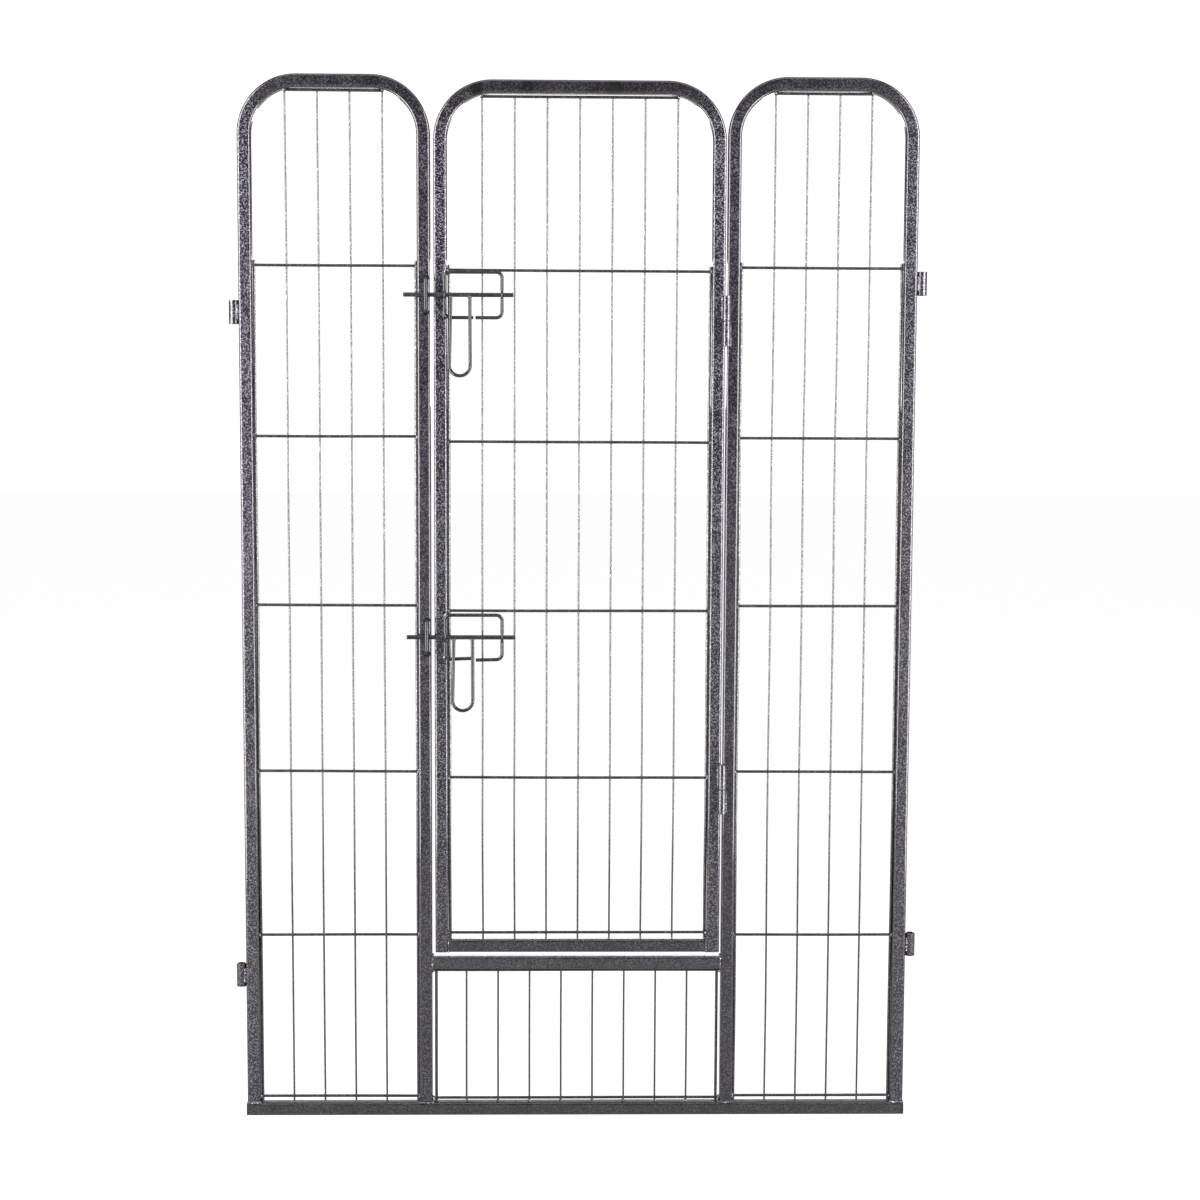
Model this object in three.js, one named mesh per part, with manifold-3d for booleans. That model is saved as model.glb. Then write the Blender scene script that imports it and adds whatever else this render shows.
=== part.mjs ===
// Gate panel of a modular livestock pen, welded from square steel tube and wire mesh.
// Two arch-topped side sections stand on a bottom rail, with a sill and a fixed kick mesh between them.
// A door hangs between the sections on two barrel hinges, and two slide bolts hold it shut.
// Millimetres. The front is -Y, +Z is up, and the origin is under the middle of the bottom rail.
import * as THREE from "three";
import { mergeVertices } from "three/addons/utils/BufferGeometryUtils.js";
import Module from "manifold-3d";

const wasm = await Module();
wasm.setup();

// Frame
const panelWidth = 770; // over the outer stiles
const panelHeight = 1200;
const doorwayWidth = 337; // between the inner stiles
const sillTop = 190;
const tubeSize = 15;
const tubeWall = 1;
const tubeCorner = 2.5; // outer corner of the tube's section
const archRadius = 67; // outside of the arch bends
const weldGap = 0.3; // between pieces that a weld joins

// Rail end plugs
const plugFlange = 0.8;
const plugDepth = 10;

// Door
const doorLatchGap = 3.9; // between the door and the stile on the bolts' side
const doorHingeGap = 1.9;
const doorSillGap = 5.4;
const doorDrop = 5; // top of the door below the top of the side sections

// Wire mesh
const rowWire = 3.3; // diameters
const columnWire = 2.3;
const edgeWire = 3.5;
const weldPress = 0.4; // how deep crossing wires are pressed into each other
const bottomRowRise = 6.8; // lowest row above the rail
const sectionCells = 6; // rows of cells in a side section
const sectionColumns = 4;
const sectionColumnPitch = 36.4;
const doorTopCell = 193; // short top row to the first full row
const doorRowPitch = 194;
const doorBottomRowRise = 7.4;
const doorColumns = 7;
const kickColumns = 8;
const columnPitch = 36.9; // in the door and under the sill
const kickRowRise = 4.6; // lower kick row above the rail
const kickTopDrop = 2.2; // upper kick row below the sill
const kickEdgeInset = 4.1; // kick edge wires from the inner stiles
const wireTail = 2; // a wire's end past the last wire that it crosses
const edgeTail = 6; // the edge wires' ends above the last full row

// Hinges
const hingeDiameter = 9.6;
const hingeBore = 5.6;
const hingePin = 4.9;
const knuckleLength = 28.4;
const knuckleGap = 0.6;
const pinRecess = 1.2; // pin's ends inside the knuckles' ends
const upperHingeDrop = 268.4; // hinge middle below the door's top
const lowerHingeRise = 193.6; // hinge middle above the door's bottom

// Slide bolts
const rodDiameter = 5;
const rodClearance = 0.35; // between the rod and the eyes it runs in
const rodTip = 30; // past the doorway's edge, with the bolt fully home
const rodLength = 124.5;
const guideWire = 4;
const guideWidth = 65; // between the middles of its legs
const guideHeight = 51;
const guideCorner = 6.5;
const guideSplit = 2; // between the ends of the bent wire
const guideSplitPlace = 33.8; // from the leg that is welded to the door
const eyeRadius = 4.6; // flattened, pierced eyes in the guide's legs
const eyeThickness = 2.4;
const legOverlap = 2.2; // how far the guide's leg stands in from the stile's edge

const keeperWire = 4.2;
const keeperHeight = 41.5;
const keeperCorner = 4;
const keeperClearance = 0.6; // in front of the rod
const keeperInset = 4.5; // keeper's middle from the doorway's edge

const handleWire = 4;
const handleWidth = 21.4; // between the middles of its legs, at the rod
const handleFlare = THREE.MathUtils.degToRad(0.7); // each leg, outwards from the rod
const handlePlace = 7.2; // first leg from the guide's leg, middle to middle

// row: row of the door's mesh, highest first, that the guide hangs under, and drop: how far under it
// handle: rod's middle to the end of the loop, and drawn: how far the rod stands short of fully home
const bolts = [
  { level: "upper", row: 0, drop: 3, handle: 94.6, drawn: 0 },
  { level: "lower", row: 2, drop: 4.1, handle: 86, drawn: 2.5 },
];

// Connector sleeves on the outer stiles
const sleeveDiameter = 11.5;
const sleeveBore = 8;
const sleeveLength = 27;
const lowerSleeveRise = 154; // bottom of the left one above the ground
const upperSleeveDrop = 279; // bottom of the left one below the top
const sleeveStagger = 36; // how much higher the right ones sit, to stack on a neighbour's left ones

// Places that follow from the sizes
const outerEdge = panelWidth / 2;
const doorwayEdge = doorwayWidth / 2;
const sectionWidth = outerEdge - doorwayEdge;
const sectionMiddle = (outerEdge + doorwayEdge) / 2;
const sectionBottom = tubeSize + weldGap;
const doorWidth = doorwayWidth - doorLatchGap - doorHingeGap;
const doorMiddle = (doorLatchGap - doorHingeGap) / 2;
const doorBottom = sillTop + doorSillGap;
const doorTop = panelHeight - doorDrop;
const frontFace = -tubeSize / 2;

const rowY = -(rowWire + columnWire) / 4 + weldPress / 2; // rows run in front of the columns
const columnY = -rowY;
const edgeY = rowY + (rowWire + edgeWire) / 2 - weldPress;

const hingeX = doorwayEdge - doorHingeGap / 2;
const hingeY = frontFace - weldGap - hingeDiameter / 2;

const boltY = frontFace - weldGap - eyeRadius;
const guideLeg = doorMiddle - doorWidth / 2 + tubeSize - legOverlap;
// The handle hangs against the front of the guide's lower side.
const handleLean = Math.asin((guideWire / 2 + handleWire / 2 + weldGap) / (guideHeight / 2));

const X = new THREE.Vector3(1, 0, 0);
const Y = new THREE.Vector3(0, 1, 0);
const Z = new THREE.Vector3(0, 0, 1);
const quarter = Math.PI / 2;

// A route of straight runs and bends. Its parameter counts stations, so a straight run is one step.
class Route extends THREE.Curve {
  constructor(point, tangent) {
    super();
    this.stations = [{ point, tangent }];
  }

  get steps() {
    return this.stations.length - 1;
  }

  straight(length) {
    const { point, tangent } = this.stations.at(-1);
    this.stations.push({ point: point.clone().addScaledVector(tangent, length), tangent });
    return this;
  }

  bend(axis, angle, radius, steps) {
    const { point, tangent } = this.stations.at(-1);
    const centre = axis.clone().cross(tangent).multiplyScalar(radius).add(point);
    for (let i = 1; i <= steps; i++) {
      const turn = (angle * i) / steps;
      this.stations.push({
        point: point.clone().sub(centre).applyAxisAngle(axis, turn).add(centre),
        tangent: tangent.clone().applyAxisAngle(axis, turn),
      });
    }
    return this;
  }

  getPointAt(u) {
    return this.stations[Math.round(u * this.steps)].point.clone();
  }

  getTangentAt(u) {
    return this.stations[Math.round(u * this.steps)].tangent.clone();
  }
}

// Outline of a square with round corners.
function roundedSquare(size, radius, cornerSteps = 2) {
  const points = [];
  for (let corner = 0; corner < 4; corner++) {
    const diagonal = (corner + 0.5) * quarter;
    const reach = (size / 2 - radius) * Math.SQRT2;
    for (let i = 0; i <= cornerSteps; i++) {
      const angle = (corner + i / cornerSteps) * quarter;
      points.push(
        new THREE.Vector2(
          reach * Math.cos(diagonal) + radius * Math.cos(angle),
          reach * Math.sin(diagonal) + radius * Math.sin(angle),
        ),
      );
    }
  }
  return points;
}

// Outline of a round wire, with its flats at the wire's radius.
function wireOutline(diameter, sides = 8) {
  const points = [];
  for (let i = 0; i < sides; i++) {
    const angle = ((i + 0.5) * 2 * Math.PI) / sides;
    const radius = diameter / 2 / Math.cos(Math.PI / sides);
    points.push(new THREE.Vector2(radius * Math.cos(angle), radius * Math.sin(angle)));
  }
  return points;
}

function sweep(shape, route) {
  return new THREE.ExtrudeGeometry(shape, { steps: route.steps, extrudePath: route });
}

// Hollow square tube, open at both ends.
function squareTube(route) {
  const shape = new THREE.Shape(roundedSquare(tubeSize, tubeCorner));
  const inside = roundedSquare(tubeSize - 2 * tubeWall, Math.max(tubeCorner - tubeWall, 0.5));
  shape.holes.push(new THREE.Path(inside));
  return sweep(shape, route);
}

// Tube bent to an inverted U with two arch corners, its middle over x = 0.
function archedTube(width, bottom, top) {
  const reach = (width - tubeSize) / 2;
  const radius = archRadius - tubeSize / 2;
  const rise = top - tubeSize / 2 - radius - bottom;
  const route = new Route(new THREE.Vector3(-reach, 0, bottom), Z)
    .straight(rise)
    .bend(Y, quarter, radius, 8)
    .straight(2 * (reach - radius))
    .bend(Y, quarter, radius, 8)
    .straight(rise);
  return squareTube(route);
}

function straightTube(halfLength, bottom) {
  const start = new THREE.Vector3(-halfLength, 0, bottom + tubeSize / 2);
  return squareTube(new Route(start, X).straight(2 * halfLength));
}

// Height of the underside of an arched tube at a distance from its middle.
function archUnderside(width, top, distance) {
  const past = Math.max(Math.abs(distance) - (width / 2 - archRadius), 0);
  return top - archRadius + Math.sqrt((archRadius - tubeSize) ** 2 - past ** 2);
}

function straightWire(from, to, diameter, sides) {
  const along = to.clone().sub(from);
  const route = new Route(from, along.clone().normalize()).straight(along.length());
  return sweep(new THREE.Shape(wireOutline(diameter, sides)), route);
}

const solidOf = (geometry) => {
  const bare = geometry.clone();
  bare.deleteAttribute("normal");
  bare.deleteAttribute("uv");
  const merged = mergeVertices(bare, 1e-3);
  return new wasm.Manifold(
    new wasm.Mesh({
      numProp: 3,
      vertProperties: merged.attributes.position.array,
      triVerts: new Uint32Array(merged.index.array),
    }),
  );
};

const geometryOf = (solid) => {
  const mesh = solid.getMesh();
  const geometry = new THREE.BufferGeometry();
  geometry.setAttribute("position", new THREE.BufferAttribute(mesh.vertProperties, 3));
  geometry.setIndex(new THREE.BufferAttribute(mesh.triVerts, 1));
  geometry.computeVertexNormals();
  return geometry;
};

const joined = (geometries) => geometryOf(geometries.map(solidOf).reduce((all, next) => all.add(next)));

// Places of evenly pitched wires about the middle.
const spread = (count, pitch) => Array.from({ length: count }, (_, i) => (i - (count - 1) / 2) * pitch);

const row = (halfLength, z) =>
  straightWire(new THREE.Vector3(-halfLength, rowY, z), new THREE.Vector3(halfLength, rowY, z), rowWire, 6);

const column = (x, bottom, top) =>
  straightWire(new THREE.Vector3(x, columnY, bottom), new THREE.Vector3(x, columnY, top), columnWire, 6);

const edge = (x, bottom, top) =>
  straightWire(new THREE.Vector3(x, edgeY, bottom), new THREE.Vector3(x, edgeY, top), edgeWire, 6);

// Top row of a mesh under an arch: a short wire whose ends meet the underside of the bends.
function topRow(width, top, columns) {
  const halfLength = columns.at(-1) + wireTail;
  return { halfLength, z: archUnderside(width, top, halfLength) - weldGap - rowWire / 2 };
}

// Mesh that fills an arched frame. Its rows are heights, highest first, without the short top row.
function archedMesh(width, bottom, top, columns, rows) {
  const clearHalf = width / 2 - tubeSize - weldGap;
  const short = topRow(width, top, columns);
  const edgeX = clearHalf - edgeWire / 2;
  const pieces = [row(short.halfLength, short.z), ...rows.map((z) => row(clearHalf, z))];
  for (const x of columns) {
    pieces.push(column(x, bottom, short.z + wireTail / 2));
  }
  for (const x of [-edgeX, edgeX]) {
    pieces.push(edge(x, bottom, rows[0] + edgeTail));
  }
  return joined(pieces);
}

const sectionColumnPlaces = spread(sectionColumns, sectionColumnPitch);
const doorColumnPlaces = spread(doorColumns, columnPitch);

function sectionRows() {
  const lowest = tubeSize + bottomRowRise;
  const pitch = (topRow(sectionWidth, panelHeight, sectionColumnPlaces).z - lowest) / sectionCells;
  return Array.from({ length: sectionCells }, (_, i) => lowest + (sectionCells - 1 - i) * pitch);
}

// Door rows, highest first, without the short top row. The last one lies just over the door's rail.
function doorRows() {
  const lowest = doorBottom + tubeSize + doorBottomRowRise;
  const rows = [];
  let z = topRow(doorWidth, doorTop, doorColumnPlaces).z - doorTopCell;
  while (z > lowest + doorRowPitch / 4) {
    rows.push(z);
    z -= doorRowPitch;
  }
  return [...rows, lowest];
}

function kickMesh() {
  const top = sillTop - tubeSize;
  const clearHalf = doorwayEdge - weldGap;
  const edgeX = doorwayEdge - kickEdgeInset;
  const pieces = [row(clearHalf, tubeSize + kickRowRise), row(clearHalf, top - kickTopDrop)];
  for (const x of spread(kickColumns, columnPitch)) {
    pieces.push(column(x, sectionBottom, top - weldGap));
  }
  for (const x of [-edgeX, edgeX]) {
    pieces.push(edge(x, sectionBottom, top - weldGap));
  }
  return joined(pieces);
}

// Round sleeve about Z with its bottom at z = 0.
function sleeve(diameter, bore, length) {
  const profile = [
    [bore / 2, 0],
    [diameter / 2, 0],
    [diameter / 2, length],
    [bore / 2, length],
    [bore / 2, 0],
  ];
  return new THREE.LatheGeometry(
    profile.map(([r, y]) => new THREE.Vector2(r, y)),
    16,
  ).rotateX(quarter);
}

// Round bar about Z with chamfered ends and its bottom at z = 0.
function bar(diameter, length, chamfer = 0.5, sides = 12) {
  const profile = [
    [0, 0],
    [diameter / 2 - chamfer, 0],
    [diameter / 2, chamfer],
    [diameter / 2, length - chamfer],
    [diameter / 2 - chamfer, length],
    [0, length],
  ];
  return new THREE.LatheGeometry(
    profile.map(([r, y]) => new THREE.Vector2(r, y)),
    sides,
  ).rotateX(quarter);
}

// Plug in the open end of a tube that points along +X: a flange outside and a stem inside.
function endPlug() {
  const flange = new THREE.ExtrudeGeometry(new THREE.Shape(roundedSquare(tubeSize, tubeCorner)), {
    depth: plugFlange,
    bevelEnabled: false,
  });
  const stemSize = tubeSize - 2 * tubeWall - 2 * weldGap;
  const stem = new THREE.ExtrudeGeometry(new THREE.Shape(roundedSquare(stemSize, tubeCorner - tubeWall)), {
    depth: plugDepth + plugFlange / 2,
    bevelEnabled: false,
  }).translate(0, 0, -plugDepth);
  return joined([flange, stem]).rotateY(quarter);
}

// Bolt guide about the rod's axis: a wire bent to a rectangle whose two legs are pierced for the rod.
// Its welded leg is at x = 0.
function boltGuide() {
  const down = Y.clone().negate();
  const side = guideWidth - 2 * guideCorner;
  const leg = guideHeight - 2 * guideCorner;
  const toSplit = guideSplitPlace - guideCorner - guideSplit / 2;
  const start = new THREE.Vector3(guideSplitPlace + guideSplit / 2, 0, -guideHeight / 2);
  const route = new Route(start, X)
    .straight(side - toSplit - guideSplit)
    .bend(down, quarter, guideCorner, 3)
    .straight(leg)
    .bend(down, quarter, guideCorner, 3)
    .straight(side)
    .bend(down, quarter, guideCorner, 3)
    .straight(leg)
    .bend(down, quarter, guideCorner, 3)
    .straight(toSplit);
  const eyes = [0, guideWidth].map((x) =>
    new THREE.CylinderGeometry(eyeRadius, eyeRadius, eyeThickness, 16).rotateZ(quarter).translate(x, 0, 0),
  );
  const holeRadius = (rodDiameter / 2 + rodClearance) / Math.cos(Math.PI / 16);
  const hole = new THREE.CylinderGeometry(holeRadius, holeRadius, 2 * guideWidth, 16)
    .rotateZ(quarter)
    .translate(guideWidth / 2, 0, 0);
  const wire = sweep(new THREE.Shape(wireOutline(guideWire)), route);
  const whole = [wire, ...eyes].map(solidOf).reduce((all, next) => all.add(next));
  return geometryOf(whole.subtract(solidOf(hole)));
}

// Keeper about the rod's axis: a staple welded to the stile, with the rod behind it.
function keeper() {
  const depth = rodDiameter / 2 + keeperClearance + keeperWire / 2;
  const foot = frontFace - weldGap - boltY; // from the rod's axis back to the stile
  const reach = keeperHeight / 2 - keeperWire / 2;
  const route = new Route(new THREE.Vector3(0, foot, reach), Y.clone().negate())
    .straight(foot + depth - keeperCorner)
    .bend(X, quarter, keeperCorner, 3)
    .straight(2 * (reach - keeperCorner))
    .bend(X, quarter, keeperCorner, 3)
    .straight(foot + depth - keeperCorner);
  return sweep(new THREE.Shape(wireOutline(keeperWire)), route);
}

// Handle about the rod's axis: a wire bent to a U, hanging, with its first leg at x = 0.
function boltHandle(length) {
  const top = rodDiameter / 2 + weldGap;
  const [sine, cosine] = [Math.sin(handleFlare), Math.cos(handleFlare)];
  const leg = ((length - handleWire / 2 - top) * cosine) / (1 + sine) - handleWidth / 2;
  const radius = (handleWidth / 2 + leg * sine) / cosine;
  const route = new Route(new THREE.Vector3(0, 0, -top), new THREE.Vector3(-sine, 0, -cosine))
    .straight(leg)
    .bend(Y.clone().negate(), Math.PI + 2 * handleFlare, radius, 8)
    .straight(leg);
  return sweep(new THREE.Shape(wireOutline(handleWire)), route);
}

const paint = { color: 0x4b4950, roughness: 0.42, metalness: 0.6 };
const darkSteel = { color: 0x3c3a3f, roughness: 0.5, metalness: 0.8 };
const blackPlastic = { color: 0x1d1d1f, roughness: 0.6, metalness: 0 };

function piece(name, geometry, finish, x = 0, y = 0, z = 0) {
  const mesh = new THREE.Mesh(geometry, new THREE.MeshStandardMaterial(finish));
  mesh.name = name;
  mesh.position.set(x, y, z);
  return mesh;
}

function fixedPanel() {
  const panel = new THREE.Group();
  const tube = () => archedTube(sectionWidth, sectionBottom, panelHeight);
  const mesh = () => archedMesh(sectionWidth, sectionBottom, panelHeight, sectionColumnPlaces, sectionRows());
  panel.add(
    piece("left_frame_tube", tube(), paint, -sectionMiddle),
    piece("right_frame_tube", tube(), paint, sectionMiddle),
    piece("bottom_rail", straightTube(outerEdge, 0), paint),
    piece("sill_rail", straightTube(doorwayEdge - weldGap, sillTop - tubeSize), paint),
    piece("left_mesh", mesh(), paint, -sectionMiddle),
    piece("right_mesh", mesh(), paint, sectionMiddle),
    piece("kick_mesh", kickMesh(), paint),
  );
  for (const [side, name] of [
    [-1, "left"],
    [1, "right"],
  ]) {
    const plug = piece("rail_end_plug_" + name, endPlug(), blackPlastic);
    plug.position.set(side * (outerEdge + weldGap), 0, tubeSize / 2);
    plug.rotation.z = side > 0 ? 0 : Math.PI;
    panel.add(plug);

    const x = side * (outerEdge + weldGap + sleeveDiameter / 2);
    const rise = side > 0 ? sleeveStagger : 0;
    const heights = { lower: lowerSleeveRise, upper: panelHeight - upperSleeveDrop };
    for (const [level, z] of Object.entries(heights)) {
      const connector = sleeve(sleeveDiameter, sleeveBore, sleeveLength);
      panel.add(piece("connector_sleeve_" + name + "_" + level, connector, paint, x, 0, z + rise));
    }
  }
  return panel;
}

function door() {
  const leaf = new THREE.Group();
  leaf.position.x = doorMiddle;
  const inside = doorWidth / 2 - tubeSize - weldGap;
  leaf.add(
    piece("door_frame_tube", archedTube(doorWidth, doorBottom, doorTop), paint),
    piece("door_bottom_rail", straightTube(inside, doorBottom), paint),
    piece(
      "door_mesh",
      archedMesh(doorWidth, doorBottom + tubeSize + weldGap, doorTop, doorColumnPlaces, doorRows()),
      paint,
    ),
  );
  return leaf;
}

// The lower knuckle is on the panel with the pin, and the door's knuckle drops over the pin.
function hinge(level, middle) {
  const group = new THREE.Group();
  const knuckle = () => sleeve(hingeDiameter, hingeBore, knuckleLength);
  const pinLength = 2 * (knuckleLength - pinRecess) + knuckleGap;
  group.position.set(hingeX, hingeY, middle);
  group.add(
    piece("hinge_knuckle_fixed_" + level, knuckle(), paint, 0, 0, -knuckleLength - knuckleGap / 2),
    piece("hinge_knuckle_door_" + level, knuckle(), paint, 0, 0, knuckleGap / 2),
    piece("hinge_pin_" + level, bar(hingePin, pinLength), darkSteel, 0, 0, -pinLength / 2),
  );
  return group;
}

function slideBolt({ level, row: rowIndex, drop, handle: handleLength, drawn }) {
  const group = new THREE.Group();
  group.position.set(0, boltY, doorRows()[rowIndex] - drop - guideHeight / 2);
  const rodStart = drawn - doorwayEdge - rodTip;
  const rod = piece("bolt_rod_" + level, bar(rodDiameter, rodLength, 0.6), darkSteel, rodStart);
  rod.rotation.y = quarter;
  const handleLeg = guideLeg + handlePlace + drawn;
  const handle = piece("bolt_handle_" + level, boltHandle(handleLength), darkSteel, handleLeg);
  handle.rotation.x = -handleLean;
  group.add(
    piece("bolt_guide_" + level, boltGuide(), paint, guideLeg),
    piece("bolt_keeper_" + level, keeper(), paint, -doorwayEdge - keeperInset),
    rod,
    handle,
  );
  return group;
}

const gate = new THREE.Group();
gate.add(fixedPanel(), door());
gate.add(hinge("upper", doorTop - upperHingeDrop), hinge("lower", doorBottom + lowerHingeRise));
gate.add(...bolts.map(slideBolt));

export default gate;
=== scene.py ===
# Looks of a livestock pen's gate panel: paint, wire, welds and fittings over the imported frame.
# Metres, and the frame's own axes: the front with the bolts is -Y, the hinges are on +X, +Z is up.
import math

import bmesh
import bpy
from mathutils import Matrix, Vector


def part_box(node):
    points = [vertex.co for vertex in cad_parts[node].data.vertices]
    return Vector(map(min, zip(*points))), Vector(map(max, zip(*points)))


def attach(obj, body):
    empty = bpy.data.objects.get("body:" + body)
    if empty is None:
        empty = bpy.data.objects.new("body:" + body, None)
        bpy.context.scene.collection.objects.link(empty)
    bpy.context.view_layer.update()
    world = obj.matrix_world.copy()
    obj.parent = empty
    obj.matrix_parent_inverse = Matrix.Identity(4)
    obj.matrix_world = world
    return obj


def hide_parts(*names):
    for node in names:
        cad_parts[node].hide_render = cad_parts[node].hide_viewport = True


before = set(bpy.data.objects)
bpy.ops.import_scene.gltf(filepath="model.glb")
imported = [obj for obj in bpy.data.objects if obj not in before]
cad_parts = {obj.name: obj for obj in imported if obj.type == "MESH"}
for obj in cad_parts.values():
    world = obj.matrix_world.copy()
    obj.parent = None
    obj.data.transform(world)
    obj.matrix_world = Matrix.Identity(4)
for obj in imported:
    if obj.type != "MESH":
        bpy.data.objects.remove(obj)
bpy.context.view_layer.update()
mm = 0.001
levels = ("upper", "lower")  # the two bolts and the two hinges
xAxis, yAxis, zAxis = Vector((1, 0, 0)), Vector((0, 1, 0)), Vector((0, 0, 1))


# Node trees

def put(tree, kind, sockets=None, **settings):
    node = tree.nodes.new(kind)
    for name, value in settings.items():
        setattr(node, name, value)
    for key, value in (sockets or {}).items():
        if isinstance(value, bpy.types.NodeSocket):
            tree.links.new(value, node.inputs[key])
        else:
            node.inputs[key].default_value = value
    return node


# Black at low, white at high.
def ramp(tree, value, low, high):
    node = put(tree, "ShaderNodeValToRGB", {"Fac": value})
    for element, place in zip(node.color_ramp.elements, (low, high)):
        element.position = place
    return node.outputs["Color"]


def mix(tree, amount, first, second):
    node = put(tree, "ShaderNodeMix", {0: amount}, data_type="RGBA")
    for key, value in ((6, first), (7, second)):
        if isinstance(value, bpy.types.NodeSocket):
            tree.links.new(value, node.inputs[key])
        else:
            node.inputs[key].default_value = (*value, 1)
    return node.outputs[2]


def calc(tree, operation, first, second=0.0):
    return put(tree, "ShaderNodeMath", {0: first, 1: second}, operation=operation).outputs[0]


def span(tree, value, low, high, toLow, toHigh):
    sockets = {"Value": value, "From Min": low, "From Max": high, "To Min": toLow, "To Max": toHigh}
    return put(tree, "ShaderNodeMapRange", sockets).outputs["Result"]


def noise(tree, place, scale, detail, **more):
    return put(tree, "ShaderNodeTexNoise", {"Vector": place, "Scale": scale, "Detail": detail, **more}).outputs["Fac"]


def newFinish(name):
    material = bpy.data.materials.new(name)
    material.use_nodes = True
    tree = material.node_tree
    tree.nodes.clear()
    return material, tree, put(tree, "ShaderNodeTexCoord").outputs["Object"]


def closeFinish(tree, height, relief, sockets):
    strength, distance = relief
    bump = put(tree, "ShaderNodeBump", {"Height": height, "Strength": strength, "Distance": distance})
    shader = put(tree, "ShaderNodeBsdfPrincipled", {**sockets, "Normal": bump.outputs["Normal"]})
    put(tree, "ShaderNodeOutputMaterial", {"Surface": shader.outputs["BSDF"]})


# Paint

hammertone = {
    "dark": (0.0022, 0.0016, 0.0030),
    "body": (0.0140, 0.0086, 0.0172),
    "pale": (0.25, 0.235, 0.275),
    "grain": 560,  # dimples to the metre
    "dimpleEdge": (0.15, 0.8),  # from a dimple's middle, where the body shows, to its dark rim
    "flakes": 560,  # pale flakes to the metre
    "flakeDetail": 1.5,
    "flakeRoughness": 0.6,
    "specks": (0.50, 0.62),  # lower numbers give more flakes
    "fleck": 0.34,  # how strongly the flakes show
    "patches": 60.0,
    "patchRise": (0.35, 0.65),
    "patchy": 0.35,  # how much the flakes vary from place to place
    "clouds": 18.0,
    "cloudRise": (0.35, 0.68),
    "cloudShade": 0.72,  # the body's share left in the darker clouds
    "outerFleck": 0.0,  # pale flakes added on the outer stiles as painted highlight
    "outerPlace": (0.355, 0.367),
    "rise": (0.25, 1.05),  # heights between which the flakes grow stronger, a painted highlight for the light the upper parts catch
    "riseGain": 0.5,
    "topShadeRise": (1.13, 1.185),
    "topFleck": 0.5,  # share of the flakes left on the tops of the arches, darker there as painted shade
    "highlightColour": None,  # painted highlight colour where the wire's highlight attribute is 1
    "highlightRise": (0.30, 0.62),
    "highlightLeast": 0.12,  # share of the painted highlight left near the floor
    "scuffs": (),  # dark marks across a tube: middle and half width along X
    "scuffCore": 0.4,  # share of a scuff's half width that is full
    "scuffBreaks": (0.42, 0.5),
    "scuffLeast": 0.2,
    "metallic": 0.35,
    "specular": 0.5,
    "roughness": (0.26, 0.42),
    "roughRise": (0.3, 0.7),
    "bump": 0.00011,
    "bumpStrength": 0.7,
    "coat": 1.0,
    "coatRoughness": 0.08,
}
wirePaint = dict(hammertone, grain=900, flakes=520, pale=(0.30, 0.30, 0.30), bump=0.00006,
                 body=(0.010, 0.0095, 0.0115), specks=(0.52, 0.62), fleck=0.12, riseGain=0.0, topFleck=1.0,
                 highlightColour=(0.085, 0.086, 0.084))
latchPaint = dict(wirePaint, body=(0.0075, 0.0070, 0.0088), pale=(0.16, 0.16, 0.17), bump=0.00008, coat=0.9,
                  coatRoughness=0.05, roughness=(0.45, 0.6), specular=0.25, fleck=0.15, highlightColour=None)
# The welds' strong pale flakes are painted glints on the beads.
weldPaint = dict(hammertone, body=(0.014, 0.012, 0.016), pale=(0.5, 0.5, 0.52), grain=330, flakes=420,
                 bump=0.0006, specks=(0.54, 0.62), fleck=0.7, roughness=(0.14, 0.3), riseGain=0.0, topFleck=1.0)
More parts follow.
